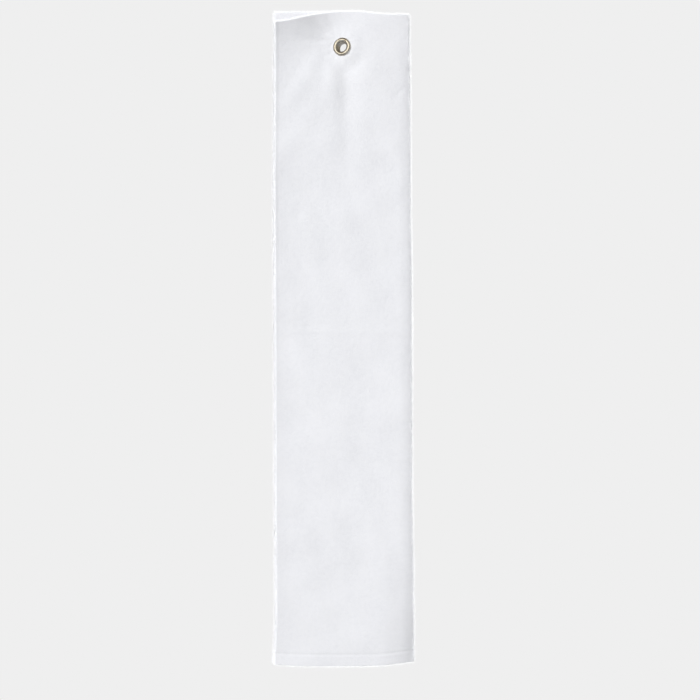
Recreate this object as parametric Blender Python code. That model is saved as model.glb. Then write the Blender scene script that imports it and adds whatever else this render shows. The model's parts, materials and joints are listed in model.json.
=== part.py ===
"""Tri-fold golf towel: one white terry cloth folded in three like a Z and held at the top by a metal eye.

Row frame, in metres: +Z is up along the cloth, -Y is the front of the towel, +X is its right-hand side.
The origin is the centre of the eye, half-way through the three layers.  The front and the back layer are the
same shape, half a turn about Z apart.  The eye clamps all three layers, and cloth doesn't stretch, so the free
part of an outer layer can only turn about a straight line that runs from beside the eye to near its fold's foot.
"""

import math

import bmesh
import bpy
from mathutils import Matrix, Vector

# Cloth
CUT_WIDTH = 0.4064
LENGTH = 0.635
LAYERS = 3
CLOTH = 0.0024  # thickness of one layer
LAYER_GAP = 0.0010
PITCH = CLOTH + LAYER_GAP
FOLDED_WIDTH = CUT_WIDTH / LAYERS - 0.0010  # the bends take up a little of the width

# Where the eye sits, and with it the top and the foot of the cloth
EYE_DROP = 0.0345
TOP = EYE_DROP
FOOT = EYE_DROP - LENGTH

# Hems and the rows of thread that hold them
TOP_HEM = 0.0135
FOOT_HEM = 0.0120
SIDE_HEM = 0.0080
HEM_BULGE = 0.0003  # a hem is this much thicker than the cloth, on the cloth's reverse side
THREAD = 0.0006
GAP = 0.0003  # between neighbours that touch
ROW = THREAD + 2 * GAP  # the furrow that a row of thread lies in
THREAD_INSET = 0.0010  # a row of thread stops this short of the turning line and of the next hem
ROUNDING = 0.0005

# Bends of the cloth, at the far left and the far right
BEND_OUTER = (PITCH + CLOTH) / 2
BEND_INNER = LAYER_GAP / 2
BEND_X = FOLDED_WIDTH / 2 - BEND_OUTER
BEND_STEPS = 16
FREE_EDGE_INSET = 0.0034  # the free edge of an outer layer lies this far inside the bend behind it
FREE_X = FREE_EDGE_INSET - FOLDED_WIDTH / 2

# The line that a flap turns about, in the front layer
LINE_TOP_X = -0.0200
LINE_FOOT_X = 0.0560
LINE_CLEAR = 0.0025  # a thick hem on the outer face starts this far from the line
FACE = PITCH + CLOTH / 2  # how far the outer faces lie from the middle of the stack

# The eye: radii from its axis
BORE = 0.00475
SHEET_METAL = 0.0005
BARREL = BORE + SHEET_METAL
FLANGE = 0.0092
HOLE = 0.0056  # the hole in the cloth
POCKET = 0.0100  # the ring of cloth that the eye presses down
POCKET_DEPTH = 0.0015
SEAT = FACE - POCKET_DEPTH + GAP  # how far the metal's inner faces lie from the middle of the stack
CROWN = FACE + 0.0003  # how far the flange's crown lies from the middle
MOUTH_ROUNDING = 0.0020
FLANGE_ROUNDING = 0.0005
FLANGE_DROP = 0.0002  # the crown falls this much towards the flange's edge
CURL = 0.0009  # the outer radius of the barrel's rolled end
CURL_TIP = -30.0  # where the roll ends, in degrees
WASHER_ROUNDING = 0.0002
EYE_STEPS = 48
ARC_STEPS = 6

# Name, colour, roughness and metallic value
TERRY = ("terry", (0.86, 0.865, 0.89, 1.0), 0.95, 0.0)
COTTON_THREAD = ("thread", (0.90, 0.90, 0.92, 1.0), 0.60, 0.0)
NICKEL = ("nickel", (0.66, 0.62, 0.54, 1.0), 0.25, 1.0)


def clear_scene():
    for obj in list(bpy.data.objects):
        bpy.data.objects.remove(obj, do_unlink=True)


def material(name, colour, roughness, metallic):
    """The Principled material of that name, made once."""
    found = bpy.data.materials.get(name)
    if found:
        return found
    made = bpy.data.materials.new(name)
    made.use_nodes = True
    shader = made.node_tree.nodes["Principled BSDF"]
    shader.inputs["Base Color"].default_value = colour
    shader.inputs["Roughness"].default_value = roughness
    shader.inputs["Metallic"].default_value = metallic
    return made


def add_object(name, bm, finish, location=(0.0, 0.0, 0.0), parent=None):
    """Makes a mesh object from bm, places it, and hangs it on its parent empty."""
    bmesh.ops.recalc_face_normals(bm, faces=bm.faces)
    mesh = bpy.data.meshes.new(name)
    bm.to_mesh(mesh)
    bm.free()
    mesh.materials.append(material(*finish))
    obj = bpy.data.objects.new(name, mesh)
    bpy.context.scene.collection.objects.link(obj)
    obj.location = location
    if parent:
        obj.parent = parent
    return obj


def add_empty(name, location=(0.0, 0.0, 0.0), turn=0.0, parent=None):
    empty = bpy.data.objects.new(name, None)
    bpy.context.scene.collection.objects.link(empty)
    empty.location = location
    empty.rotation_euler = (0.0, 0.0, turn)
    empty.empty_display_size = 0.02
    empty.parent = parent
    return empty


def slab_mesh(outline, low_y, high_y):
    """A flat plate: outline is its corners as (x, z), and it fills the depths from low_y to high_y."""
    bm = bmesh.new()
    corners = [bm.verts.new((x, low_y, z)) for x, z in outline]
    face = bm.faces.new(corners)
    grown = bmesh.ops.extrude_face_region(bm, geom=[face])["geom"]
    moved = [item for item in grown if isinstance(item, bmesh.types.BMVert)]
    bmesh.ops.translate(bm, verts=moved, vec=(0.0, high_y - low_y, 0.0))
    return bm


def round_edges(obj, width=ROUNDING):
    bevel = obj.modifiers.new("rounded_edges", "BEVEL")
    bevel.width = width
    bevel.segments = 2
    bevel.limit_method = "ANGLE"
    bevel.angle_limit = math.radians(40.0)


def add_slab(name, outline, layer_y, parent=None, near=0.0, far=0.0):
    """One plate of cloth in the layer at layer_y.  near and far thicken it to the front and to the back."""
    bm = slab_mesh(outline, -CLOTH / 2 - near, CLOTH / 2 + far)
    obj = add_object(name, bm, TERRY, (0.0, layer_y, 0.0), parent)
    round_edges(obj)
    return obj


def add_thread(name, outline, layer_y, parent=None):
    """One row of stitches, a slim strip that goes through the cloth from face to face."""
    bm = slab_mesh(outline, -CLOTH / 2, CLOTH / 2)
    return add_object(name, bm, COTTON_THREAD, (0.0, layer_y, 0.0), parent)


def box_outline(left, right, top, foot):
    return [(left, top), (right, top), (right, foot), (left, foot)]


def line_x(z):
    """Where the front layer's turning line passes at height z."""
    share = (TOP - z) / LENGTH
    return LINE_TOP_X + (LINE_FOOT_X - LINE_TOP_X) * share


def left_of_line(left, top, foot, clear=GAP):
    """The part of a band of cloth that lies on the flap's side of the line."""
    return [(left, top), (line_x(top) - clear, top), (line_x(foot) - clear, foot), (left, foot)]


def right_of_line(right, top, foot, clear=GAP):
    return [(line_x(top) + clear, top), (right, top), (right, foot), (line_x(foot) + clear, foot)]


def ring_profile_to_mesh(profile):
    """Turns a closed profile of (radius, y) points about the Y axis."""
    bm = bmesh.new()
    points = [bm.verts.new((radius, y, 0.0)) for radius, y in profile]
    edges = [bm.edges.new((a, b)) for a, b in zip(points, points[1:] + points[:1])]
    bmesh.ops.spin(
        bm,
        geom=points + edges,
        cent=(0.0, 0.0, 0.0),
        axis=(0.0, 1.0, 0.0),
        angle=math.tau,
        steps=EYE_STEPS,
        use_merge=True,
    )
    bmesh.ops.remove_doubles(bm, verts=bm.verts, dist=1e-6)
    return bm


def arc(centre, radius, start, end, steps=ARC_STEPS):
    """Points of an arc in the (radius, y) plane, angles in degrees, y counted towards the back."""
    found = []
    for i in range(steps + 1):
        angle = math.radians(start + (end - start) * i / steps)
        found.append((centre[0] + radius * math.cos(angle), centre[1] + radius * math.sin(angle)))
    return found


def shade_smooth(obj):
    obj.data.shade_smooth()
    obj.data.set_sharp_from_angle(angle=math.radians(50.0))


def add_bend(name, parent):
    """The half-round bend that joins two layers, in the front layer's own frame."""
    bm = bmesh.new()
    centre = Vector((BEND_X, -PITCH / 2, FOOT))
    outline = []
    for radius, order in ((BEND_OUTER, 1), (BEND_INNER, -1)):
        for i in range(BEND_STEPS + 1)[::order]:
            angle = math.pi * (i / BEND_STEPS - 0.5)
            outline.append(centre + Vector((radius * math.cos(angle), radius * math.sin(angle), 0.0)))
    face = bm.faces.new([bm.verts.new(point) for point in outline])
    grown = bmesh.ops.extrude_face_region(bm, geom=[face])["geom"]
    moved = [item for item in grown if isinstance(item, bmesh.types.BMVert)]
    bmesh.ops.translate(bm, verts=moved, vec=(0.0, 0.0, LENGTH))
    bend = add_object(name, bm, TERRY, parent=parent)
    shade_smooth(bend)
    return bend


def round_cutter(name, radius, low_y, high_y):
    """A hidden cylinder about the eye's axis."""
    bm = bmesh.new()
    bmesh.ops.create_cone(
        bm,
        cap_ends=True,
        segments=EYE_STEPS,
        radius1=radius,
        radius2=radius,
        depth=high_y - low_y,
        matrix=Matrix.Translation((0.0, (low_y + high_y) / 2, 0.0)) @ Matrix.Rotation(math.pi / 2, 4, "X"),
    )
    cutter = add_object(name, bm, NICKEL)
    cutter.hide_render = True
    cutter.display_type = "WIRE"
    return cutter


def cut(obj, cutter):
    """Cuts first and rounds the edges afterwards, so the eye's hole gets its soft rim too."""
    boolean = obj.modifiers.new("cut_" + cutter.name, "BOOLEAN")
    boolean.operation = "DIFFERENCE"
    boolean.solver = "EXACT"
    boolean.object = cutter
    obj.modifiers.move(len(obj.modifiers) - 1, 0)


def add_outer_layer(side, turn, near, far):
    """The front or the back layer, in the front layer's own frame; turn carries it to its side of the towel.
    near and far are how much its hems bulge to each side.  Returns the held panel, which the eye goes through."""
    y = -PITCH
    hem_clear = LINE_CLEAR if near else GAP
    layer = add_empty(side + "_layer", turn=turn)
    hinge = add_empty(side + "_turning_line", (LINE_TOP_X, -FACE, TOP), parent=layer)
    shift = -Vector(hinge.location)

    bend = BEND_X - GAP
    top_row = TOP - TOP_HEM
    foot_row = FOOT + FOOT_HEM
    top_thread = (top_row - GAP, top_row - GAP - THREAD)
    foot_thread = (foot_row + GAP + THREAD, foot_row + GAP)

    held = add_slab(side + "_panel", right_of_line(bend, top_row - ROW, FOOT), y, layer)
    add_slab(side + "_top_hem", right_of_line(bend, TOP, top_row, hem_clear), y, layer, near, far)
    add_thread(side + "_top_stitching", right_of_line(bend, *top_thread, THREAD_INSET), y, layer)

    hem_side = FREE_X + SIDE_HEM
    panel_top = top_row - ROW
    panel_foot = foot_row + ROW
    panel = left_of_line(hem_side + ROW, panel_top, panel_foot)
    side_hem = box_outline(FREE_X, hem_side, panel_top, panel_foot)
    top_hem = left_of_line(FREE_X, TOP, top_row, hem_clear)
    foot_hem = left_of_line(FREE_X, foot_row, FOOT, hem_clear)
    side_row = box_outline(
        hem_side + GAP,
        hem_side + GAP + THREAD,
        panel_top - THREAD_INSET,
        panel_foot + THREAD_INSET,
    )
    flap = [
        add_slab(side + "_flap_panel", panel, y),
        add_slab(side + "_flap_side_hem", side_hem, y, near=near, far=far),
        add_slab(side + "_flap_top_hem", top_hem, y, near=near, far=far),
        add_slab(side + "_flap_foot_hem", foot_hem, y, near=near, far=far),
        add_thread(side + "_flap_side_stitching", side_row, y),
        add_thread(side + "_flap_top_stitching", left_of_line(FREE_X, *top_thread, THREAD_INSET), y),
        add_thread(side + "_flap_foot_stitching", left_of_line(FREE_X, *foot_thread, THREAD_INSET), y),
    ]
    for piece in flap:
        piece.parent = hinge
        piece.location += shift
    return held


def add_middle_layer():
    """The panel between the two bends.  Its reverse side, with the hems' bulge, faces the front."""
    right = BEND_X - GAP
    left = -right
    top_row = TOP - TOP_HEM
    foot_row = FOOT + FOOT_HEM
    top_thread = (top_row - GAP, top_row - GAP - THREAD)
    foot_thread = (foot_row + GAP + THREAD, foot_row + GAP)
    panel = add_slab("middle_panel", box_outline(left, right, top_row - ROW, foot_row + ROW), 0.0)
    add_slab("middle_top_hem", box_outline(left, right, TOP, top_row), 0.0, near=HEM_BULGE)
    add_slab("middle_foot_hem", box_outline(left, right, foot_row, FOOT), 0.0, near=HEM_BULGE)
    add_thread("middle_top_stitching", box_outline(left, right, *top_thread), 0.0)
    add_thread("middle_foot_stitching", box_outline(left, right, *foot_thread), 0.0)
    return panel


def add_eye():
    """The two-piece metal eye: an eyelet with a flange in front, whose barrel is rolled over a washer behind."""
    dish = 2 * SHEET_METAL - CROWN
    washer_back = SEAT + GAP + SHEET_METAL
    curl_centre = (BORE + CURL, washer_back + CURL + 0.0002)
    eyelet = arc((BORE + MOUTH_ROUNDING, MOUTH_ROUNDING - CROWN), MOUTH_ROUNDING, 180.0, 270.0)
    edge = (FLANGE - FLANGE_ROUNDING, FLANGE_ROUNDING + FLANGE_DROP - CROWN)
    eyelet += arc(edge, FLANGE_ROUNDING, 270.0, 360.0)
    eyelet += [
        (FLANGE, -SEAT),
        (FLANGE - SHEET_METAL, -SEAT),
        (FLANGE - 2 * SHEET_METAL, dish),
        (BARREL + SHEET_METAL, dish),
        (BARREL, -SEAT),
    ]
    eyelet += arc(curl_centre, CURL - SHEET_METAL, 180.0, CURL_TIP)
    eyelet += arc(curl_centre, CURL, CURL_TIP, 180.0)
    add_ring("grommet_eyelet", eyelet)

    inner = BARREL + GAP
    front = SEAT + GAP
    washer = [
        (inner, front),
        (FLANGE - WASHER_ROUNDING, front),
        (FLANGE, front + WASHER_ROUNDING),
        (FLANGE, washer_back - WASHER_ROUNDING),
        (FLANGE - WASHER_ROUNDING, washer_back),
        (inner, washer_back),
    ]
    add_ring("grommet_washer", washer)


def add_ring(name, profile):
    ring = add_object(name, ring_profile_to_mesh(profile), NICKEL)
    shade_smooth(ring)
    return ring


def main():
    clear_scene()
    front = add_outer_layer("front", 0.0, 0.0, HEM_BULGE)
    back = add_outer_layer("back", math.pi, HEM_BULGE, 0.0)
    middle = add_middle_layer()
    add_bend("right_fold", bpy.data.objects["front_layer"])
    add_bend("left_fold", bpy.data.objects["back_layer"])
    add_eye()

    reach = 2 * FACE
    hole = round_cutter("eye_hole", HOLE, -reach, reach)
    front_pocket = round_cutter("front_pocket", POCKET, -reach, POCKET_DEPTH - FACE)
    back_pocket = round_cutter("back_pocket", POCKET, FACE - POCKET_DEPTH, reach)
    for panel in (front, middle, back):
        cut(panel, hole)
    cut(front, front_pocket)
    cut(back, back_pocket)


main()
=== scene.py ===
"""Tri-fold golf towel, looks: hung terry cloth with sewn hems, lockstitched thread and a nickel eye.

Frame, in metres: +Z up, -Y the front of the towel, origin at the centre of the eye.  The cloth is made flat
and then carried to its place by one function, settle, so that cloth, hems, thread and pile always agree.
A flat point is (along, height, face): along runs across the unfolded cloth from the front layer's free edge
to the back layer's, height is z, and face is the distance from the middle of the cloth, positive on its
velour side.
"""

import json
import math

import bmesh
import bpy
import numpy as np
from mathutils import Matrix, Vector


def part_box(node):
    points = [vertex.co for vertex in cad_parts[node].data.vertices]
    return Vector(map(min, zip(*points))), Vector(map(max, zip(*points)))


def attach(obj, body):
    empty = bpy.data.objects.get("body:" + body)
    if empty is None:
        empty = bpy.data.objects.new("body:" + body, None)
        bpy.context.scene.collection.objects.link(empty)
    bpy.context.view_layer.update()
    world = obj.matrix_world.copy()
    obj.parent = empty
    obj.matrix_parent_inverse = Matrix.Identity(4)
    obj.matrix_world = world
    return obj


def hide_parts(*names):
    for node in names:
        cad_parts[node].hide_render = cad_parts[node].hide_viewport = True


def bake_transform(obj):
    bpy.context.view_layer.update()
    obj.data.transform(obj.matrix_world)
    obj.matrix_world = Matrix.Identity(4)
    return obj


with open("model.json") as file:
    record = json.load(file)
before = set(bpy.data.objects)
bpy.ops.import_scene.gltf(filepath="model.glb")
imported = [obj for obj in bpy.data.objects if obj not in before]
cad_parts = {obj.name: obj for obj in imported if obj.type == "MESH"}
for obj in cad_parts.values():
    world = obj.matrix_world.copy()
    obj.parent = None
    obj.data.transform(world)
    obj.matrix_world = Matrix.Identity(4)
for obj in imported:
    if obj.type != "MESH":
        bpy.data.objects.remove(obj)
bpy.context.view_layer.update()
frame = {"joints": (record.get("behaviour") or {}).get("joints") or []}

# The folded cloth, as the frame has it
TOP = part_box("middle_top_hem")[1].z
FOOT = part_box("middle_foot_hem")[0].z
FRONT_MIDDLE = (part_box("front_panel")[0].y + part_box("front_panel")[1].y) / 2
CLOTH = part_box("front_panel")[1].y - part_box("front_panel")[0].y
PITCH = -FRONT_MIDDLE
BEND = PITCH / 2  # radius of a bend, at the middle of the cloth
BEND_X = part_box("right_fold")[0].x
FREE_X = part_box("front_flap_side_hem")[0].x
FACE = PITCH + CLOTH / 2
TOP_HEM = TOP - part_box("middle_top_hem")[0].z
FOOT_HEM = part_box("middle_foot_hem")[1].z - FOOT
SIDE_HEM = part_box("front_flap_side_hem")[1].x - FREE_X

# Stations along the unfolded cloth.  The front layer's x is its station.
RIGHT_BEND = BEND_X
MIDDLE_START = RIGHT_BEND + math.pi * BEND
LEFT_BEND = MIDDLE_START + 2 * BEND_X
BACK_START = LEFT_BEND + math.pi * BEND
BACK_FREE = BACK_START + BEND_X - FREE_X
JOIN = 0.0022  # the middle layer's mesh reaches this far beyond the bends

# The turning lines of the two flaps
TURNS = {joint["child"]: joint for joint in frame["joints"]}

# The eye, and how the cloth round it follows
EYE_TURN = math.radians(-19.0)  # it faces a little to the left
EYE_NOD = math.radians(-5.0)  # and a little up
EYE_GRIP = 0.72  # the share of this that the cloth round it follows
EYE_RIGID = 0.0105  # the cloth turns with the eye up to this radius
EYE_LOOSE = 0.0800  # and not at all beyond this one
FLANGE = (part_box("grommet_eyelet")[1].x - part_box("grommet_eyelet")[0].x) / 2
HOLE = 0.0066  # radius of the hole in each layer
SQUEEZE = 0.28  # how much the eye squeezes the stack


def ramp(value, start, end):
    """0 before start, 1 after end, smooth between them."""
    share = np.clip((value - start) / (end - start), 0.0, 1.0)
    return share * share * (3.0 - 2.0 * share)


def hump(value, centre, width):
    """1 at the centre, fading to both sides."""
    return np.exp(-(((value - centre) / width) ** 2))


WAVES = 7


def waves(x, z, length, seed):
    """A smooth random field of about unit height, made of plane waves of roughly the given length."""
    source = np.random.default_rng(seed)
    total = np.zeros_like(x)
    for _ in range(WAVES):
        heading = source.uniform(0.0, math.pi)
        number = math.tau / (length * source.uniform(0.75, 1.5))
        phase = source.uniform(0.0, math.tau)
        total += np.sin(number * (x * math.cos(heading) + z * math.sin(heading)) + phase)
    return total / math.sqrt(WAVES)


def past_line(x, z, start, end):
    """Distance to the left of the line from start to end, and the share of the way along it."""
    along = np.array([end[0] - start[0], end[1] - start[1]])
    length = math.hypot(*along)
    along = along / length
    off_x = x - start[0]
    off_z = z - start[1]
    return off_z * along[0] - off_x * along[1], (off_x * along[0] + off_z * along[1]) / length


def make_object(name, bm, *materials, sharp=math.radians(50.0)):
    mesh = bpy.data.meshes.new(name)
    bm.to_mesh(mesh)
    bm.free()
    for material in materials:
        mesh.materials.append(material)
    mesh.shade_smooth()
    mesh.set_sharp_from_angle(angle=sharp)
    obj = bpy.data.objects.new(name, mesh)
    bpy.context.scene.collection.objects.link(obj)
    return obj


# ---------------------------------------------------------------- how the cloth hangs

# Features of the whole stack.  Lines are (start, end), each end (x, z).
UNEVEN = 0.00045  # soft unevenness of the cloth
SWING = 0.0013  # long slow waves down its length
HOLLOW_X = 0.004  # a hollow runs down from the eye
HOLLOW_SIDES = (0.0080, 0.0120)  # its widths to the left and to the right
HOLLOW_DEPTH = 0.0019
RIDGE_X = -0.0105  # a short ridge runs down beside the hollow
RIDGE_WIDTH = 0.0075
RIDGE_RISE = 0.0010
FOOT_CORNER_BACK = 0.0040  # the right corner of the foot hangs back
ROLL_START = 0.0550  # the right side rolls back from here on
ROLL_WIDTH = 0.0120
ROLL_BACK = 0.0021
FOOT_BACK = 0.0018  # the whole foot hangs back
CREASE_Z = -0.2766  # a faint crease from packing
CREASE_WIDTH = 0.0028
CREASE_RISE = 0.00030
STEP_LINE = ((-0.0235, -0.001), (-0.055, -0.051))  # the stack steps forward to the lower right of this
STEP_RISE = 0.0014
STEP_FADE = 0.030

# Features of the front layer alone
CORNER_LINE = ((-0.012, TOP), (-0.0638, -0.045))  # its top left corner leans out beyond this line
CORNER_REACH = 0.0434
CORNER_LEAN = 0.0036
LIP_HEIGHT = 0.017  # the left of its top edge curls out over about this height
LIP_CURL = 0.0053
PLEATS = 15.0  # small pleats fan out from the eye, this many to a full turn
PLEAT_RISE = 0.00035
FOLD_LINE = ((-0.014, -0.030), (-0.0585, -0.100))  # a low fold slants down to the left
FOLD_RISE = 0.00050
DIMPLE = (-0.0415, -0.162)  # its x and z
DIMPLE_DEPTH = 0.0005
WRINKLE_LINE = ((0.067, -0.032), (0.052, -0.048))  # a short wrinkle at the right side
WRINKLE_WIDTH = 0.0025
WRINKLE_DEPTH = 0.0007
RIPPLE = 0.00018  # small ripples all over
FREE_SIDE_RISE = 0.0003  # the cloth lifts a little towards its free edge
FREE_EDGE_RISES = (0.00030, 0.00040)  # the edge itself lifts all along, and more near the top
FREE_EDGE_WIDTH = 0.0022


def common_relief(x, z):
    """How far the whole stack comes forward."""
    relief = UNEVEN * waves(x, z, 0.085, 3)
    relief += SWING * waves(x * 0.35, z, 0.36, 11)
    hollow = hump(x, HOLLOW_X, np.where(x < HOLLOW_X, *HOLLOW_SIDES))
    relief -= HOLLOW_DEPTH * hollow * ramp(z, -0.150, -0.030) * ramp(-z, 0.004, 0.014)
    ridge = hump(x, RIDGE_X, RIDGE_WIDTH)
    relief += RIDGE_RISE * ridge * ramp(z, -0.070, -0.018) * ramp(-z, 0.003, 0.014)
    relief -= FOOT_CORNER_BACK * ramp(x, 0.036, 0.069) * ramp(-z, 0.46, 0.60)
    roll = np.clip((x - ROLL_START) / ROLL_WIDTH, 0.0, 1.0) ** 2
    relief -= ROLL_BACK * roll * (1.0 - 0.6 * ramp(z, -0.030, 0.005) + 0.8 * ramp(-z, 0.50, 0.60))
    relief -= FOOT_BACK * ramp(-z, 0.53, 0.62)
    relief += CREASE_RISE * hump(z, CREASE_Z, CREASE_WIDTH)
    across, share = past_line(x, z, *STEP_LINE)
    step = ramp(across, -0.010, 0.008) * np.exp(-np.maximum(across, 0.0) / STEP_FADE)
    relief += STEP_RISE * step * ramp(share, -0.25, 0.15) * ramp(-share, -1.25, -0.75)
    return relief


def front_relief(x, z):
    """How much more the front layer comes forward than the stack behind it."""
    across, share = past_line(x, z, *CORNER_LINE)
    corner = np.clip(-across / CORNER_REACH, 0.0, 1.2)
    lip = np.exp(-(TOP - z) / LIP_HEIGHT) * ramp(-x, 0.004, 0.046)
    relief = CORNER_LEAN * corner ** 1.6 + LIP_CURL * lip
    radius = np.hypot(x, z)
    angle = np.degrees(np.arctan2(z, x))
    sector = ramp(angle, 100.0, 125.0) * ramp(-angle, -178.0, -160.0)
    pleats = np.sin(np.radians(angle) * PLEATS + 0.6)
    relief += PLEAT_RISE * pleats * sector * ramp(radius, 0.013, 0.024) * ramp(-radius, -0.055, -0.030)
    across, share = past_line(x, z, *FOLD_LINE)
    relief += FOLD_RISE * hump(across, 0.004, 0.009) * ramp(share, 0.0, 0.5)
    relief -= DIMPLE_DEPTH * hump(x, DIMPLE[0], 0.0050) * hump(z, DIMPLE[1], 0.0060)
    across, share = past_line(x, z, *WRINKLE_LINE)
    wrinkle = WRINKLE_DEPTH * hump(across, 0.0, WRINKLE_WIDTH)
    relief -= wrinkle * ramp(share, -0.2, 0.1) * ramp(-share, -1.2, -0.7)
    relief += RIPPLE * waves(x, z, 0.030, 23)
    relief += FREE_SIDE_RISE * ramp(-x, 0.050, 0.064)
    rise = FREE_EDGE_RISES[0] + FREE_EDGE_RISES[1] * ramp(z, -0.45, -0.05)
    relief += rise * hump(x, FREE_X, FREE_EDGE_WIDTH)
    return relief * ramp(-x, -0.0660, -0.0500)


# How far each side strays outwards, as heights and the strays there
RIGHT_EDGE = (
    (-0.605, -0.560, -0.500, -0.440, -0.250, -0.150, -0.050, 0.035),
    (0.0027, 0.0023, 0.0018, 0.0006, 0.0003, -0.0008, -0.0014, -0.0022),
)
LEFT_EDGE = (
    (-0.605, -0.585, -0.560, -0.350, -0.250, -0.130, -0.060, 0.035),
    (0.0012, 0.0005, -0.0009, -0.0001, 0.0003, 0.0010, 0.0006, 0.0002),
)
FRONT_STRAY = 0.0011  # how much further out the front layer's free edge lies
STRAY_REACH = 0.070  # the strays fade to nothing over this distance, towards the middle

# How far the top corners sag, and how far the foot rises at its corners and sags between them
TOP_RIGHT_SAG = 0.0030
TOP_LEFT_SAG = 0.0003
FRONT_TOP_LEFT_SAG = 0.0118
FOOT_RIGHT_RISE = 0.0024
FOOT_LEFT_RISE = 0.0008
FOOT_SAG = 0.0010


def sag(x, z, front):
    """The cloth's moves in its own plane, along x and along z.  front is 1 in the front layer, else 0."""
    high = ramp(z, -0.110, TOP)
    down = -TOP_RIGHT_SAG * ramp(x, 0.010, 0.046) * high
    down -= TOP_LEFT_SAG * ramp(-x, 0.030, 0.067) * high * (1.0 - front)
    down -= front * FRONT_TOP_LEFT_SAG * ramp(-x, 0.001, 0.071) * high
    low = ramp(-z, 0.50, 0.60)
    corners = FOOT_RIGHT_RISE * ramp(x, 0.030, 0.067) + FOOT_LEFT_RISE * ramp(-x, 0.035, 0.067)
    down += low * (corners - FOOT_SAG * hump(x, -0.012, 0.045))
    right = np.interp(z, *RIGHT_EDGE) * ramp(x, 0.0, STRAY_REACH)
    left = (np.interp(z, *LEFT_EDGE) + FRONT_STRAY * front) * ramp(-x, 0.0, STRAY_REACH)
    return right - left, down


def tip(points, share):
    """Turns points with the eye about its centre, by this share of its turn and its nod."""
    x, y, z = points.T
    turn = EYE_TURN * share
    nod = EYE_NOD * share
    y, z = y * np.cos(nod) - z * np.sin(nod), y * np.sin(nod) + z * np.cos(nod)
    x, y = x * np.cos(turn) - y * np.sin(turn), x * np.sin(turn) + y * np.cos(turn)
    return np.column_stack((x, y, z))


PUCKERS = 13.0  # the eye's squeeze puckers the cloth this many times round it
PUCKER_RISE = 0.00010
BACK_SHARE = 0.6  # the back layer stands off by this share of what the front layer does


def folded(along, face):
    """The place (x, y) of flat points once the cloth is folded in three, before it sags."""
    x = along.copy()
    y = -PITCH - face
    bend = (along > RIGHT_BEND) & (along <= MIDDLE_START)
    turn = (along - RIGHT_BEND) / BEND
    x = np.where(bend, BEND_X + (BEND + face) * np.sin(turn), x)
    y = np.where(bend, -BEND - (BEND + face) * np.cos(turn), y)
    middle = (along > MIDDLE_START) & (along <= LEFT_BEND)
    x = np.where(middle, BEND_X - (along - MIDDLE_START), x)
    y = np.where(middle, face, y)
    bend = (along > LEFT_BEND) & (along <= BACK_START)
    turn = (along - LEFT_BEND) / BEND
    x = np.where(bend, -BEND_X - (BEND - face) * np.sin(turn), x)
    y = np.where(bend, BEND - (BEND - face) * np.cos(turn), y)
    back = along > BACK_START
    x = np.where(back, along - BACK_START - BEND_X, x)
    y = np.where(back, PITCH - face, y)
    return x, y


def settle(flat):
    """Carries flat points, rows of (along, height, face), to where the hanging cloth has them."""
    along, height, face = flat.T
    x, y = folded(along, face)
    front = np.where(along > RIGHT_BEND, 0.0, 1.0)
    behind = np.where(along > BACK_START, 1.0, 0.0)

    radius = np.hypot(x, height)
    y = y * (1.0 - SQUEEZE * ramp(-radius, -0.0400, -0.0094))
    pucker = PUCKER_RISE * np.cos(np.arctan2(height, x) * PUCKERS)
    pucker = pucker * ramp(radius, 0.0100, 0.0125) * ramp(-radius, -0.0220, -0.0150)
    y = y - pucker - common_relief(x, height) * (1.0 - ramp(-radius, -0.0260, -0.0105))
    y = y - front * front_relief(x, height)
    y = y + behind * BACK_SHARE * front_relief(-x, height)
    out, down = sag(x, height, front)
    near = 1.0 - ramp(-radius, -0.0250, -0.0110)
    x = x + out * near
    z = height + down * near

    with_eye = np.minimum(1.0, EYE_RIGID / np.maximum(radius, 1e-6))
    with_eye = with_eye * ramp(-radius, -EYE_LOOSE, -EYE_RIGID)
    return tip(np.column_stack((x, y, z)), with_eye * EYE_GRIP)


def settle_mesh(mesh, hems=()):
    """Keeps the flat place of each vertex for the materials, presses the hems in, and settles the mesh."""
    flat = np.empty(len(mesh.vertices) * 3)
    mesh.vertices.foreach_get("co", flat)
    place = mesh.attributes.new("cloth_place", "FLOAT_VECTOR", "POINT")
    place.data.foreach_set("vector", flat)
    flat = flat.reshape(-1, 3)
    if hems:
        shape_hems(flat, hems)
    mesh.vertices.foreach_set("co", settle(flat).ravel())
    mesh.update()


# ---------------------------------------------------------------- materials


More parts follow.
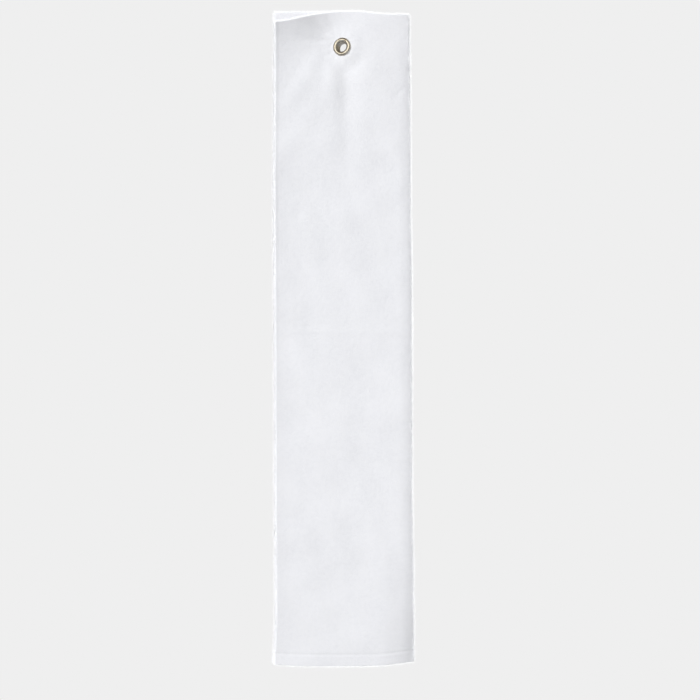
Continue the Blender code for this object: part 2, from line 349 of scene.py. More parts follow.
class Nodes:
    """Short calls for building one material's node tree."""

    def __init__(self, name):
        self.material = bpy.data.materials.new(name)
        self.material.use_nodes = True
        self.tree = self.material.node_tree
        self.shader = self.tree.nodes["Principled BSDF"]

    def add(self, kind, **settings):
        node = self.tree.nodes.new("ShaderNode" + kind)
        for key, value in settings.items():
            setattr(node, key, value)
        return node

    def link(self, output, target):
        self.tree.links.new(output, target)

    def math(self, operation, first, second):
        node = self.add("Math", operation=operation)
        for socket, value in zip(node.inputs, (first, second)):
            if isinstance(value, (int, float)):
                socket.default_value = value
            else:
                self.link(value, socket)
        return node.outputs["Value"]

    def scaled(self, vector, scale):
        node = self.add("Mapping")
        node.inputs["Scale"].default_value = scale
        self.link(vector, node.inputs["Vector"])
        return node.outputs["Vector"]

    def noise(self, vector, scale, detail, roughness):
        node = self.add("TexNoise")
        node.inputs["Scale"].default_value = scale
        node.inputs["Detail"].default_value = detail
        node.inputs["Roughness"].default_value = roughness
        self.link(vector, node.inputs["Vector"])
        return node.outputs["Fac"]

    def colours(self, factor, *stops):
        node = self.add("ValToRGB")
        ramp_node = node.color_ramp
        while len(ramp_node.elements) < len(stops):
            ramp_node.elements.new(0.5)
        for element, (place, colour) in zip(ramp_node.elements, stops):
            element.position = place
            element.color = (*colour, 1.0)
        self.link(factor, node.inputs["Fac"])
        return node.outputs["Color"]

    def bump(self, height, distance, strength, below=None):
        node = self.add("Bump")
        node.inputs["Distance"].default_value = distance
        node.inputs["Strength"].default_value = strength
        self.link(height, node.inputs["Height"])
        if below:
            self.link(below, node.inputs["Normal"])
        return node.outputs["Normal"]

    def attribute(self, name):
        return self.add("Attribute", attribute_name=name).outputs["Vector"]

    def set(self, **values):
        for key, value in values.items():
            self.shader.inputs[key.replace("_", " ")].default_value = value


def velour_material():
    """Sheared pile of the face: short upright tufts, with a faint nap that lies in patches.  Its colour is
    darker where the tufts and clumps are low, which is painted shade, and lighter or darker in the nap's
    patches, which is painted sheen.
    """
    n = Nodes("white_velour")
    place = n.attribute("cloth_place")
    tufts = n.noise(place, 1050.0, 3.0, 0.62)
    clumps = n.noise(place, 260.0, 2.0, 0.5)
    nap = n.noise(n.scaled(place, (1.0, 0.45, 1.0)), 34.0, 3.0, 0.55)
    # The tone holds painted shade, darker where the tufts and clumps of the bump are low, and painted sheen
    # in the nap's patches.
    tone = n.math("ADD", n.math("MULTIPLY", tufts, 0.42), n.math("MULTIPLY", clumps, 0.22))
    tone = n.math("ADD", tone, n.math("MULTIPLY", nap, 0.36))
    colour = n.colours(
        tone,
        (0.28, (0.775, 0.782, 0.815)),
        (0.50, (0.845, 0.850, 0.880)),
        (0.72, (0.885, 0.888, 0.915)),
    )
    n.link(colour, n.shader.inputs["Base Color"])
    pile = n.bump(tufts, 0.0006, 0.55)
    pile = n.bump(clumps, 0.0007, 0.35, pile)
    n.link(pile, n.shader.inputs["Normal"])
    n.set(Roughness=0.92, Specular_IOR_Level=0.18, Sheen_Weight=0.35, Sheen_Roughness=0.45)
    n.shader.inputs["Sheen Tint"].default_value = (1.0, 1.0, 1.0, 1.0)
    return n.material


def loop_material():
    """Uncut loops of the reverse, standing in close rows along the length.  Their colour is darker between
    the loops, which is painted shade, over a random tone of patches and fibres.
    """
    n = Nodes("white_terry_loops")
    place = n.attribute("cloth_place")
    wander = n.add("Mix", data_type="VECTOR")  # inputs 4 and 5 are its vectors, output 1 the mix
    wander.inputs["Factor"].default_value = 0.0009
    drift = n.add("TexNoise")
    drift.inputs["Scale"].default_value = 300.0
    n.link(place, drift.inputs["Vector"])
    n.link(place, wander.inputs[4])
    n.link(drift.outputs["Color"], wander.inputs[5])
    cells = n.add("TexVoronoi", feature="SMOOTH_F1")
    cells.inputs["Scale"].default_value = 720.0
    cells.inputs["Smoothness"].default_value = 0.35
    cells.inputs["Randomness"].default_value = 0.8
    n.link(n.scaled(wander.outputs[1], (1.0, 0.72, 1.0)), cells.inputs["Vector"])
    loops = n.math("SUBTRACT", 1.0, cells.outputs["Distance"])
    patches = n.noise(place, 60.0, 3.0, 0.55)
    fibre = n.noise(place, 1900.0, 2.0, 0.5)
    # The tone is lighter on the loops and darker between them, as in the bump: painted shade, with random
    # patches and fibres added.
    tone = n.math("ADD", n.math("MULTIPLY", loops, 0.55), n.math("MULTIPLY", patches, 0.30))
    tone = n.math("ADD", tone, n.math("MULTIPLY", fibre, 0.15))
    colour = n.colours(
        tone,
        (0.25, (0.780, 0.786, 0.815)),
        (0.50, (0.835, 0.840, 0.870)),
        (0.78, (0.890, 0.892, 0.915)),
    )
    n.link(colour, n.shader.inputs["Base Color"])
    relief = n.bump(loops, 0.0008, 0.5)
    relief = n.bump(fibre, 0.0002, 0.4, relief)
    n.link(relief, n.shader.inputs["Normal"])
    n.set(Roughness=0.94, Specular_IOR_Level=0.15, Sheen_Weight=0.25, Sheen_Roughness=0.5)
    return n.material


def pile_material():
    """Combed cotton of the loose pile at the edges, coloured brighter than the same cotton of the cloth: a
    painted highlight along the edges.
    """
    n = Nodes("edge_pile_painted_bright")
    place = n.attribute("cloth_place")
    tone = n.noise(place, 420.0, 2.0, 0.5)
    # Painted highlight: the pile's colour is brighter than the cloth's, so the edges read as a bright rim.
    colour = n.colours(tone, (0.3, (0.945, 0.947, 0.955)), (0.7, (0.985, 0.985, 0.99)))
    n.link(colour, n.shader.inputs["Base Color"])
    n.set(Roughness=0.85, Specular_IOR_Level=0.2, Sheen_Weight=0.4, Sheen_Roughness=0.4)
    return n.material


def thread_material():
    """Spun cotton sewing thread with its twist, its colour darker in the twist's grooves as in the bump:
    painted shade.
    """
    n = Nodes("white_thread")
    place = n.attribute("cloth_place")
    twist = n.add("TexWave", wave_type="BANDS", bands_direction="DIAGONAL")
    twist.inputs["Scale"].default_value = 900.0
    twist.inputs["Distortion"].default_value = 1.2
    n.link(place, twist.inputs["Vector"])
    # Painted shade: darker in the grooves of the twist.
    colour = n.colours(
        twist.outputs["Fac"],
        (0.1, (0.80, 0.805, 0.83)),
        (0.9, (0.90, 0.90, 0.92)),
    )
    n.link(colour, n.shader.inputs["Base Color"])
    n.link(n.bump(twist.outputs["Fac"], 0.0001, 0.5), n.shader.inputs["Normal"])
    n.set(Roughness=0.62, Specular_IOR_Level=0.35, Sheen_Weight=0.15)
    return n.material


def nickel_material():
    """Warm nickel plate, lightly scratched, with a little tarnish in random patches."""
    n = Nodes("warm_nickel")
    place = n.add("TexCoord").outputs["Object"]
    tarnish = n.noise(place, 330.0, 4.0, 0.65)
    scratches = n.noise(n.scaled(place, (1.0, 0.2, 3.5)), 1500.0, 3.0, 0.6)
    colour = n.colours(
        tarnish,
        (0.34, (0.30, 0.255, 0.200)),
        (0.50, (0.64, 0.605, 0.545)),
        (0.70, (0.79, 0.775, 0.73)),
    )
    n.link(colour, n.shader.inputs["Base Color"])
    rough = n.math("ADD", n.math("MULTIPLY", scratches, 0.16), n.math("MULTIPLY", tarnish, 0.14))
    n.link(n.math("ADD", rough, 0.08), n.shader.inputs["Roughness"])
    n.link(n.bump(scratches, 0.00003, 0.35), n.shader.inputs["Normal"])
    n.set(Metallic=1.0)
    return n.material


# ---------------------------------------------------------------- cloth

# How deep the stitches pull each kind of hem in
TOP_FURROW = 0.00010
FOOT_FURROW = 0.00065
SIDE_FURROW = 0.00012
HEM_PUFF = 0.00050  # how much thicker a hem is
STITCH_INSET = 0.0008  # how far inside a hem's inner edge its stitches run
FURROW_WIDTH = 0.0010
EDGE_ROUNDING = CLOTH * 0.30


def spaced(stops):
    """Positions from the first stop to the last.  A stop is (position, widest step up to it)."""
    found = [stops[0][0]]
    for (here, _), (there, step) in zip(stops, stops[1:]):
        count = max(1, math.ceil((there - here) / step - 1e-6))
        found += [here + (there - here) * i / count for i in range(1, count + 1)]
    return found


def shape_hems(flat, hems):
    """Thickens the cloth at its hems, mostly on the reverse side, and sinks a furrow along each row of
    stitches.  A hem is (axis, edge, inwards, width, furrow depth); axis 0 runs along the cloth, 1 up it."""
    puff = np.zeros(len(flat))
    furrow = np.zeros(len(flat))
    for axis, edge, inwards, width, depth in hems:
        distance = (flat[:, axis] - edge) * inwards
        rise = ramp(distance, -0.0002, 0.0020) * ramp(-distance, -(width + 0.0014), -(width + 0.0002))
        puff = np.maximum(puff, HEM_PUFF * rise)
        furrow = np.maximum(furrow, depth * hump(distance, width - STITCH_INSET, FURROW_WIDTH))
    velour_side = flat[:, 2] > 0.0
    flat[:, 2] += np.where(velour_side, 0.15 * puff - 0.7 * furrow, furrow - puff)


def flat_slab(columns, rows, hole_along, rounded):
    """A slab of cloth with mesh lines at the given stations and heights, holed for the eye, its outer edges
    rounded.  rounded tells which of its first and last station is a real edge of the cloth."""
    bm = bmesh.new()
    bmesh.ops.create_grid(bm, x_segments=len(columns) - 1, y_segments=len(rows) - 1, size=0.5)
    for vert in bm.verts:
        column = round((vert.co.x + 0.5) * (len(columns) - 1))
        row = round((vert.co.y + 0.5) * (len(rows) - 1))
        vert.co = (columns[column], rows[row], CLOTH / 2)

    def from_eye(vert):
        return math.hypot(vert.co.x - hole_along, vert.co.y)

    inside = [face for face in bm.faces if min(from_eye(v) for v in face.verts) < HOLE - 0.0003]
    bmesh.ops.delete(bm, geom=inside, context="FACES")
    for vert in bm.verts:
        if vert.is_boundary and from_eye(vert) < 2 * HOLE:
            reach = HOLE / from_eye(vert)
            vert.co.x = hole_along + (vert.co.x - hole_along) * reach
            vert.co.y = vert.co.y * reach
    bmesh.ops.solidify(bm, geom=bm.faces[:], thickness=CLOTH)
    heights = [vert.co.z for vert in bm.verts]
    middle = (max(heights) + min(heights)) / 2
    for vert in bm.verts:
        vert.co.z -= middle
    bmesh.ops.recalc_face_normals(bm, faces=bm.faces)

    def on_rim(edge):
        centre = (edge.verts[0].co + edge.verts[1].co) / 2
        if abs(edge.verts[0].co.z - edge.verts[1].co.z) > 1e-5:
            return False
        if centre.y > rows[-1] - 1e-6 or centre.y < rows[0] + 1e-6:
            return True
        if rounded[0] and centre.x < columns[0] + 1e-6:
            return True
        return rounded[1] and centre.x > columns[-1] - 1e-6

    bmesh.ops.bevel(
        bm,
        geom=[edge for edge in bm.edges if on_rim(edge)],
        offset=EDGE_ROUNDING,
        offset_type="OFFSET",
        segments=3,
        profile=0.5,
        affect="EDGES",
        clamp_overlap=True,
        material=-1,
    )
    for face in bm.faces:
        face.material_index = 1 if face.calc_center_median().z < -CLOTH * 0.15 else 0
    return bm


def rows_of_cloth():
    """Heights of the mesh lines, closer at the hems and round the eye."""
    return spaced([
        (FOOT, 1.0),
        (FOOT + 0.0190, 0.0009),
        (-0.0420, 0.0026),
        (0.0200, 0.0012),
        (TOP, 0.0009),
    ])


def cloth_pieces(velour, loops):
    """The three layers.  Both bends go with the middle layer, so the outer layers end short of them."""
    rows = rows_of_cloth()
    hem_zone = 0.0125
    eye_zone = 0.0250
    outer = spaced([
        (FREE_X, 1.0),
        (FREE_X + hem_zone, 0.0009),
        (-eye_zone, 0.0022),
        (eye_zone, 0.0012),
        (RIGHT_BEND - JOIN, 0.0022),
    ])
    bm = flat_slab(outer, rows, 0.0, (True, False))
    front = make_object("front_cloth", bm, velour, loops)

    back_eye = BACK_START + BEND_X
    mirrored = [back_eye - station for station in reversed(outer)]
    bm = flat_slab(mirrored, rows, back_eye, (False, True))
    back = make_object("back_cloth", bm, velour, loops)

    middle_eye = MIDDLE_START + BEND_X
    inner = spaced([
        (RIGHT_BEND - JOIN, 1.0),
        (RIGHT_BEND, 0.0012),
        (MIDDLE_START, 0.0006),
        (middle_eye - eye_zone, 0.0026),
        (middle_eye + eye_zone, 0.0015),
        (LEFT_BEND, 0.0026),
        (BACK_START, 0.0006),
        (BACK_START + JOIN, 0.0012),
    ])
    bm = flat_slab(inner, rows, middle_eye, (False, False))
    middle = make_object("middle_cloth", bm, velour, loops)
    ends = ((1, TOP, -1.0, TOP_HEM, TOP_FURROW), (1, FOOT, 1.0, FOOT_HEM, FOOT_FURROW))
    settle_mesh(front.data, (*ends, (0, FREE_X, 1.0, SIDE_HEM, SIDE_FURROW)))
    settle_mesh(middle.data, ends)
    settle_mesh(back.data, (*ends, (0, BACK_FREE, -1.0, SIDE_HEM, SIDE_FURROW)))
    return front, middle, back


# ---------------------------------------------------------------- shapes that repeat


def tuft_shape():
    """One tuft of pile, a blunt taper one unit long on +Z with a base one unit across."""
    bm = bmesh.new()
    bmesh.ops.create_cone(
        bm,
        cap_ends=True,
        cap_tris=False,
        segments=3,
        radius1=0.5,
        radius2=0.2,
        depth=1.0,
        matrix=Matrix.Translation((0.0, 0.0, 0.5)),
    )
    return finished_shape("tuft", bm)


def stitch_shape():
    """One stitch, a run of thread one unit long on +Z that thins towards both ends."""
    bm = bmesh.new()
    bmesh.ops.create_uvsphere(bm, u_segments=6, v_segments=6, radius=0.5)
    return finished_shape("stitch", bm)


def finished_shape(name, bm):
    mesh = bpy.data.meshes.new(name)
    bm.to_mesh(mesh)
    bm.free()
    return mesh


def copies(shape, count):
    """A bmesh of this many copies of the shape, one after another, by doubling."""
    bm = bmesh.new()
    bm.from_mesh(shape)
    whole = bpy.data.meshes.new("copies")
    for digit in bin(count)[3:]:
        bm.to_mesh(whole)
        bm.from_mesh(whole)
        if digit == "1":
            bm.from_mesh(shape)
    return bm


def unit(vectors):
    return vectors / np.linalg.norm(vectors, axis=1)[:, None]


def repeated(name, material, shape, roots, ways, lengths, widths):
    """Copies of the shape at the flat points roots, each along its own way, settled with the cloth."""
    piece = make_object(name, copies(shape, len(roots)), material, sharp=math.pi)
    points = np.empty(len(shape.vertices) * 3)
    shape.vertices.foreach_get("co", points)
    points = points.reshape(-1, 3)
    ways = unit(ways)
    helper = np.where(np.abs(ways[:, 2:3]) > 0.9, [[1.0, 0.0, 0.0]], [[0.0, 0.0, 1.0]])
    side = unit(np.cross(ways, helper))
    other = np.cross(ways, side)
    flat = roots[:, None, :] + (
        points[None, :, 0:1] * (side * widths[:, None])[:, None, :]
        + points[None, :, 1:2] * (other * widths[:, None])[:, None, :]
        + points[None, :, 2:3] * (ways * lengths[:, None])[:, None, :]
    )
    piece.data.vertices.foreach_set("co", flat.ravel())
    settle_mesh(piece.data)
    return piece


# ---------------------------------------------------------------- pile at the edges

TUFTS_PER_METRE = 8500
TUFT_WIDTH = 0.00026
TUFT_LENGTH = (0.0010, 0.0024)  # the shortest and the longest
TUFT_SPREAD = 0.42  # how much their directions differ
TUFT_ROOT = 0.0003  # how deep a tuft starts under the cloth's surface
FREE_EDGE_SHARE = 0.35  # the free side edges have this share of the usual tufts
BEND_SHARE = 1.8  # and the bends this one, as a bend is wider than an edge


def tufts_along(source, start, end, out, spread, share=1.0):
    """Roots and directions of the tufts from start to end, standing outwards, spread to both sides."""
    start, end, out, spread = (np.array(part) for part in (start, end, out, spread))
    count = round(TUFTS_PER_METRE * share * np.linalg.norm(end - start))
    roots = start + (end - start) * source.random((count, 1))
    roots = roots + spread * source.uniform(-1.0, 1.0, (count, 1))
    ways = out + TUFT_SPREAD * source.normal(size=(count, 3))
    return roots - out * TUFT_ROOT, ways


def edge_pile(name, material, shape, runs):
    """One piece with the tufts of all these runs."""
    source = np.random.default_rng(len(name))
    found = [tufts_along(source, *run) for run in runs]
    roots = np.concatenate([roots for roots, _ in found])
    ways = np.concatenate([ways for _, ways in found])
    lengths = source.uniform(*TUFT_LENGTH, len(roots))
    widths = TUFT_WIDTH * source.uniform(0.7, 1.3, len(roots))
    return repeated(name, material, shape, roots, ways, lengths, widths)


def pile_pieces(material):
    """Tufts along the hemmed edges of each layer and over the outside of both bends."""
    shape = tuft_shape()
    across = (0.0, 0.0, CLOTH * 0.42)
    round_bend = (math.pi * BEND * 0.36, 0.0, 0.0)
    left, right = (-1.0, 0.0, 0.0), (1.0, 0.0, 0.0)
    up, down = (0.0, 1.0, 0.0), (0.0, -1.0, 0.0)

    def ends(start, end):
        return [
            ((start, TOP, 0.0), (end, TOP, 0.0), up, across),
            ((start, FOOT, 0.0), (end, FOOT, 0.0), down, across),
        ]

    front = ends(FREE_X, RIGHT_BEND - JOIN)
    front.append(((FREE_X, FOOT, 0.0), (FREE_X, TOP, 0.0), left, across, FREE_EDGE_SHARE))
    back = ends(BACK_START + JOIN, BACK_FREE)
    back.append(((BACK_FREE, FOOT, 0.0), (BACK_FREE, TOP, 0.0), right, across, FREE_EDGE_SHARE))
    middle = ends(RIGHT_BEND - JOIN, BACK_START + JOIN)
    right_middle = (RIGHT_BEND + MIDDLE_START) / 2
    left_middle = (LEFT_BEND + BACK_START) / 2
    for station, side in ((right_middle, 1.0), (left_middle, -1.0)):
        face = side * CLOTH / 2
        out = (0.0, 0.0, side)
        middle.append(((station, FOOT, face), (station, TOP, face), out, round_bend, BEND_SHARE))
    return {
        "front_edge_pile": edge_pile("front_edge_pile", material, shape, front),
        "middle_edge_pile": edge_pile("middle_edge_pile", material, shape, middle),
        "back_edge_pile": edge_pile("back_edge_pile", material, shape, back),
    }


# ---------------------------------------------------------------- thread

STITCH_PITCH = 0.0029
STITCH_LENGTH = 0.0026
THREAD_WIDTH = 0.00046
STITCH_SINK = 0.00040  # how deep the middle of the thread lies under the cloth's face
STITCH_SLANT = math.radians(5.0)


def stitch_piece(name, thread, shape, start, end):
    """A row of lockstitches from start to end, both (along, height), on both sides of the cloth."""
    source = np.random.default_rng(len(name))
    run = np.array([end[0] - start[0], end[1] - start[1]])
    length = math.hypot(*run)
    count = max(1, round(length / STITCH_PITCH))
    heading = math.atan2(run[1], run[0])
    places = (np.arange(count) + 0.5) / count
    sides = np.repeat([1.0, -1.0], count)
    middles = np.tile(places, 2)[:, None] * run + np.array(start)
    slant = heading + STITCH_SLANT + source.uniform(-0.06, 0.06, 2 * count)
    ways = np.column_stack((np.cos(slant), np.sin(slant), np.zeros(2 * count)))
    roots = np.column_stack((middles, sides * (CLOTH / 2 - STITCH_SINK)))
    lengths = STITCH_LENGTH * source.uniform(0.92, 1.04, 2 * count)
    widths = np.full(2 * count, THREAD_WIDTH)
    return repeated(name, thread, shape, roots, ways, lengths, widths)


def thread_pieces(thread):
    top = TOP - TOP_HEM + STITCH_INSET
    foot = FOOT + FOOT_HEM - STITCH_INSET
    side = SIDE_HEM - STITCH_INSET
    inset = 0.0015  # how far from the cloth's edges a row starts and stops
    free = FREE_X
    far = RIGHT_BEND - JOIN
    made = {
        "front_top_thread": ((free + inset, top), (far, top)),
        "front_foot_thread": ((free + inset, foot), (far, foot)),
        "front_side_thread": ((free + side, foot + inset), (free + side, top - inset)),
        "middle_top_thread": ((far, top), (BACK_START + JOIN, top)),
        "middle_foot_thread": ((far, foot), (BACK_START + JOIN, foot)),
        "back_top_thread": ((BACK_START + JOIN, top), (BACK_FREE - inset, top)),
        "back_foot_thread": ((BACK_START + JOIN, foot), (BACK_FREE - inset, foot)),
        "back_side_thread": ((BACK_FREE - side, foot + inset), (BACK_FREE - side, top - inset)),
    }
    shape = stitch_shape()
    return {name: stitch_piece(name, thread, shape, *row) for name, row in made.items()}


# ---------------------------------------------------------------- eye


def crowned(centre, half_width, rise, start, end, steps):
    """Points of an elliptical arc, by angle in degrees."""
    found = []
    for i in range(steps + 1):
        angle = math.radians(start + (end - start) * i / steps)
        found.append((centre[0] + half_width * math.cos(angle), centre[1] + rise * math.sin(angle)))
    return found


def turned_ring(name, profile, material):
    """A ring turned about the eye's axis from a closed profile of (radius, y), tilted as the eye is."""
    bm = bmesh.new()
    points = [bm.verts.new((radius, y, 0.0)) for radius, y in profile]
    edges = [bm.edges.new((a, b)) for a, b in zip(points, points[1:] + points[:1])]
    bmesh.ops.spin(
        bm,
        geom=points + edges,
        cent=(0.0, 0.0, 0.0),
        axis=(0.0, 1.0, 0.0),
        angle=math.tau,
        steps=96,
        use_merge=True,
    )
    bmesh.ops.remove_doubles(bm, verts=bm.verts, dist=1e-6)
    bmesh.ops.recalc_face_normals(bm, faces=bm.faces)
    tilt = Matrix.Rotation(EYE_TURN, 3, "Z") @ Matrix.Rotation(EYE_NOD, 3, "X")
    bmesh.ops.rotate(bm, verts=bm.verts, cent=(0.0, 0.0, 0.0), matrix=tilt)
    return make_object(name, bm, material, sharp=math.radians(40.0))


BORE = 0.00475  # radius of the bore
WALL = 0.0005
PLAY = 0.0003  # what the metal keeps off the cloth and off the other metal piece
CROWN = 0.0021  # how far the eyelet's crown stands over the flange's edge
LIP = 0.0003
CURL = 0.0009  # outer radius of the barrel's rolled end
CURL_PLAY = 0.0002  # between that end and the washer
BROKEN_EDGE = 0.0002


def eye_pieces(nickel):
    """The eyelet, a crowned flange with a barrel whose end is rolled over, and the washer behind."""
    barrel = BORE + WALL
    seat = FACE * (1.0 - SQUEEZE) + PLAY
    half = (FLANGE - BORE) / 2
    middle = (BORE + half, CROWN - (FACE + PLAY))
    eyelet = crowned(middle, half, CROWN, 180.0, 360.0, 28)
    eyelet += crowned((FLANGE - LIP, middle[1]), LIP, LIP, 30.0, 150.0, 6)
    eyelet += crowned(middle, half - 2 * LIP, CROWN - 2 * LIP, 350.0, 190.0, 20)
    washer_back = seat + PLAY + WALL
    centre = (BORE + CURL, washer_back + CURL + CURL_PLAY)
    eyelet += [(barrel, -seat)]
    eyelet += crowned(centre, CURL - WALL, CURL - WALL, 180.0, -30.0, 10)
    eyelet += crowned(centre, CURL, CURL, -30.0, 180.0, 18)
    ring = turned_ring("eye_ring", eyelet, nickel)

    inner = barrel + PLAY
    front = seat + PLAY
    edge = FLANGE - BROKEN_EDGE
    washer = [(inner, front), (edge, front), (FLANGE, front + BROKEN_EDGE)]
    washer += [(FLANGE, washer_back - BROKEN_EDGE), (edge, washer_back), (inner, washer_back)]
    plate = turned_ring("eye_washer", washer, nickel)
    return ring, plate


# ---------------------------------------------------------------- studio

BACKDROP = 0.863  # how bright the background and the floor look
AMBIENT = 0.42  # how strongly they light the towel
ROOM = ((0.00, (0.060, 0.042, 0.028)), (0.35, (0.150, 0.118, 0.085)), (0.80, (0.52, 0.50, 0.42)))
ROOM_ACROSS = (0.80, 0.0, 0.35)  # the way the mirrored room gets lighter
SOFTBOX = (-0.30, -0.93, 0.22)
SOFTBOX_EDGE = (0.80, 0.93)  # cosines of its outer and inner edge
SOFTBOX_COLOUR = (1.9, 1.8, 1.55, 1.0)
FLOOR_HEIGHT = -0.95
FLOOR_RADIUS = 9.0
CAMERA_PLACE = (0.0070, -1.8910, -0.2942)


def facing(tree, direction, heading):
    """How far the world's direction points the way of heading."""
    node = tree.nodes.new("ShaderNodeVectorMath")
    node.operation = "DOT_PRODUCT"
    node.inputs[1].default_value = heading
    tree.links.new(direction, node.inputs[0])
    return node.outputs["Value"]


def background(tree, colour, strength=1.0):
    node = tree.nodes.new("ShaderNodeBackground")
    node.inputs["Color"].default_value = colour
    node.inputs["Strength"].default_value = strength
    return node


def either(tree, test, if_not, if_so):
    """One shader where test is 0 and the other where it is 1."""
    node = tree.nodes.new("ShaderNodeMixShader")
    tree.links.new(test, node.inputs["Fac"])
    tree.links.new(if_not, node.inputs[1])
    tree.links.new(if_so, node.inputs[2])
    return node.outputs["Shader"]


def mirrored_room(tree):
    """The colour of the room that metal mirrors: dark on one side, with a warm softbox in front."""
    direction = tree.nodes.new("ShaderNodeTexCoord").outputs["Generated"]
    room = tree.nodes.new("ShaderNodeValToRGB")
    room.color_ramp.elements.new(0.5)
    for element, (position, colour) in zip(room.color_ramp.elements, ROOM):
        element.position = position
        element.color = (*colour, 1.0)
    tree.links.new(facing(tree, direction, ROOM_ACROSS), room.inputs["Fac"])
    in_box = tree.nodes.new("ShaderNodeMapRange")
    in_box.inputs["From Min"].default_value = SOFTBOX_EDGE[0]
    in_box.inputs["From Max"].default_value = SOFTBOX_EDGE[1]
    tree.links.new(facing(tree, direction, SOFTBOX), in_box.inputs["Value"])
    with_box = tree.nodes.new("ShaderNodeMix")  # inputs 6 and 7 are its colours, output 2 the mix
    with_box.data_type = "RGBA"
    with_box.inputs[7].default_value = SOFTBOX_COLOUR
    tree.links.new(in_box.outputs["Result"], with_box.inputs["Factor"])
    tree.links.new(room.outputs["Color"], with_box.inputs[6])
    return with_box.outputs[2]


def world_light():
    """An even pale background, even light, and a room with a dark side for what metal mirrors."""
    world = bpy.data.worlds.new("studio")
    world.use_nodes = True
    bpy.context.scene.world = world
    tree = world.node_tree
    tree.nodes.clear()
    rays = tree.nodes.new("ShaderNodeLightPath")
    seen = background(tree, (BACKDROP, BACKDROP, BACKDROP, 1.0))
    lit = background(tree, (0.98, 0.99, 1.0, 1.0), AMBIENT)
    mirrored = background(tree, (1.0, 1.0, 1.0, 1.0))
    tree.links.new(mirrored_room(tree), mirrored.inputs["Color"])
    light = either(tree, rays.outputs["Is Glossy Ray"], lit.outputs[0], mirrored.outputs[0])
    whole = either(tree, rays.outputs["Is Camera Ray"], light, seen.outputs[0])
    out = tree.nodes.new("ShaderNodeOutputWorld")
    tree.links.new(whole, out.inputs["Surface"])


def sun(name, towards, strength, softness):
    """A lamp whose light travels in the direction towards.  Metal mirrors the room and not the lamps."""
    lamp = bpy.data.lights.new(name, "SUN")
    lamp.energy = strength
    lamp.angle = math.radians(softness)
    obj = bpy.data.objects.new(name, lamp)
    obj.rotation_mode = "QUATERNION"
    obj.rotation_quaternion = Vector(towards).to_track_quat("-Z", "Y")
    obj.visible_glossy = False
    bpy.context.scene.collection.objects.link(obj)
    return obj


def pale_floor():
    """A round floor that looks as the background does, lights the towel as it does, and casts no shadow."""
    bm = bmesh.new()
    place = Matrix.Translation((0.0, 0.0, FLOOR_HEIGHT))
    bmesh.ops.create_circle(bm, cap_ends=True, segments=64, radius=FLOOR_RADIUS, matrix=place)
    material = bpy.data.materials.new("pale_floor")
    material.use_nodes = True
    tree = material.node_tree
    tree.nodes.clear()
    rays = tree.nodes.new("ShaderNodeLightPath")
    level = tree.nodes.new("ShaderNodeMapRange")
    level.inputs["To Min"].default_value = AMBIENT
    level.inputs["To Max"].default_value = BACKDROP
    tree.links.new(rays.outputs["Is Camera Ray"], level.inputs["Value"])
    glow = tree.nodes.new("ShaderNodeEmission")
    tree.links.new(level.outputs["Result"], glow.inputs["Strength"])
    out = tree.nodes.new("ShaderNodeOutputMaterial")
    tree.links.new(glow.outputs["Emission"], out.inputs["Surface"])
    floor = make_object("floor", bm, material)
    floor.visible_shadow = False
    return floor


def studio():
    pale_floor()
    world_light()
    sun("key_light", (0.55, 0.75, -0.35), 2.50, 20.0)
    sun("back_light", (-0.45, -0.80, -0.40), 1.60, 30.0)
    sun("foot_rim_light", (-0.05, -0.16, 1.0), 1.3, 8.0)
    sun("top_rim_light", (0.1, -0.20, -1.0), 0.8, 10.0)

    camera = bpy.data.cameras.new("camera")
    camera.lens = 100.0
    camera.sensor_width = 36.0
    obj = bpy.data.objects.new("camera", camera)
    obj.location = CAMERA_PLACE
    obj.rotation_euler = (math.pi / 2, 0.0, 0.0)
    bpy.context.scene.collection.objects.link(obj)
    bpy.context.scene.camera = obj
    bpy.context.scene.view_settings.view_transform = "Standard"
    bpy.context.scene.view_settings.look = "None"


# ---------------------------------------------------------------- the towel


def turn_with(piece, flap):
    """Bakes the piece's place into its mesh.  It works out the flap's turning line and its free side, but
    bends nothing along it.
    """
    joint = TURNS[flap]
    axis = Vector(joint["axis"]).normalized()
    free_side = -1.0 if flap == "front_flap" else 1.0  # the sign of x there
    away = axis.cross(Vector((0.0, 1.0, 0.0))).normalized()
    if away.x * free_side < 0.0:
        away = -away
    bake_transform(piece)


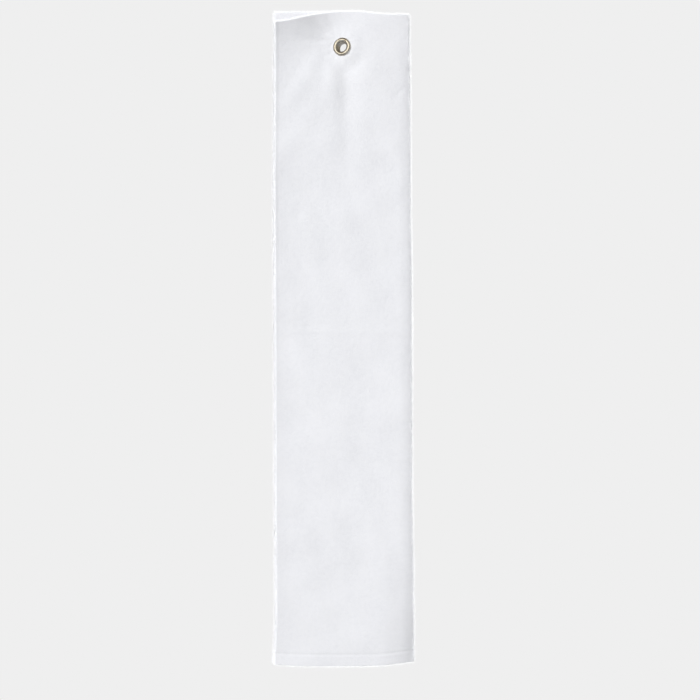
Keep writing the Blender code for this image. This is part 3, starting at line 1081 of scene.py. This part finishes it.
# Lamps for some pieces only: the way their light travels, strength and softness.  Those of the pile come
# from all round, as thin loose cotton glows; the one of the right bend comes from the right.
PILE_LIGHTS = (
    ((-1.0, 0.8, 0.1), 2.6, 60.0),
    ((0.9, 0.9, -0.1), 1.3, 60.0),
    ((0.1, 0.8, 1.0), 2.0, 60.0),
    ((-0.5, -1.0, 0.2), 1.3, 60.0),
    ((0.5, -1.0, -0.2), 1.3, 60.0),
)
BEND_LIGHTS = (
    ((-1.0, -0.38, -0.05), 1.5, 10.0),
)


def light_only(name, pieces, lamps):
    """Lamps that light up these pieces and no others."""
    reached = bpy.data.collections.new(name)
    for piece in pieces:
        reached.objects.link(piece)
    for number, (towards, strength, softness) in enumerate(lamps):
        lamp = sun(f"{name}_light_{number + 1}", towards, strength, softness)
        lamp.light_linking.receiver_collection = reached


def hang_eye(ring, plate):
    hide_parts("grommet_eyelet")
    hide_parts("grommet_washer")
    for piece in (ring, plate):
        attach(piece, "hung_body")


def hang_outer_layer(side, cloth, threads, pile):
    """The front or the back layer: its side thread is attached to the flap's body, and its cloth, other
    threads and pile are baked in place.
    """
    flap = side + "_flap"
    top, foot, edge = (threads[side + "_" + row + "_thread"] for row in ("top", "foot", "side"))
    for piece in (cloth, top, foot, pile):
        turn_with(piece, flap)
    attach(edge, flap)
    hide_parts(side + "_panel", side + "_top_hem")
    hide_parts(flap + "_panel", flap + "_top_hem", flap + "_side_hem", flap + "_foot_hem")
    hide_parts(side + "_top_stitching", flap + "_top_stitching")
    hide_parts(flap + "_foot_stitching")
    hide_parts(flap + "_side_stitching")


def hang_middle_layer(cloth, threads, pile):
    """The middle layer and both bends, which stay still."""
    top, foot = threads["middle_top_thread"], threads["middle_foot_thread"]
    for piece in (cloth, top, foot, pile):
        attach(piece, "hung_body")
    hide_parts("middle_panel", "middle_top_hem", "middle_foot_hem", "right_fold", "left_fold")
    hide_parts("middle_top_stitching")
    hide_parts("middle_foot_stitching")


def main():
    studio()
    front, middle, back = cloth_pieces(velour_material(), loop_material())
    threads = thread_pieces(thread_material())
    pile = pile_pieces(pile_material())
    light_only("loose_pile", pile.values(), PILE_LIGHTS)
    light_only("right_bend", (middle, *threads.values(), *pile.values()), BEND_LIGHTS)

    hang_eye(*eye_pieces(nickel_material()))
    hang_outer_layer("front", front, threads, pile["front_edge_pile"])
    hang_outer_layer("back", back, threads, pile["back_edge_pile"])
    hang_middle_layer(middle, threads, pile["middle_edge_pile"])


main()
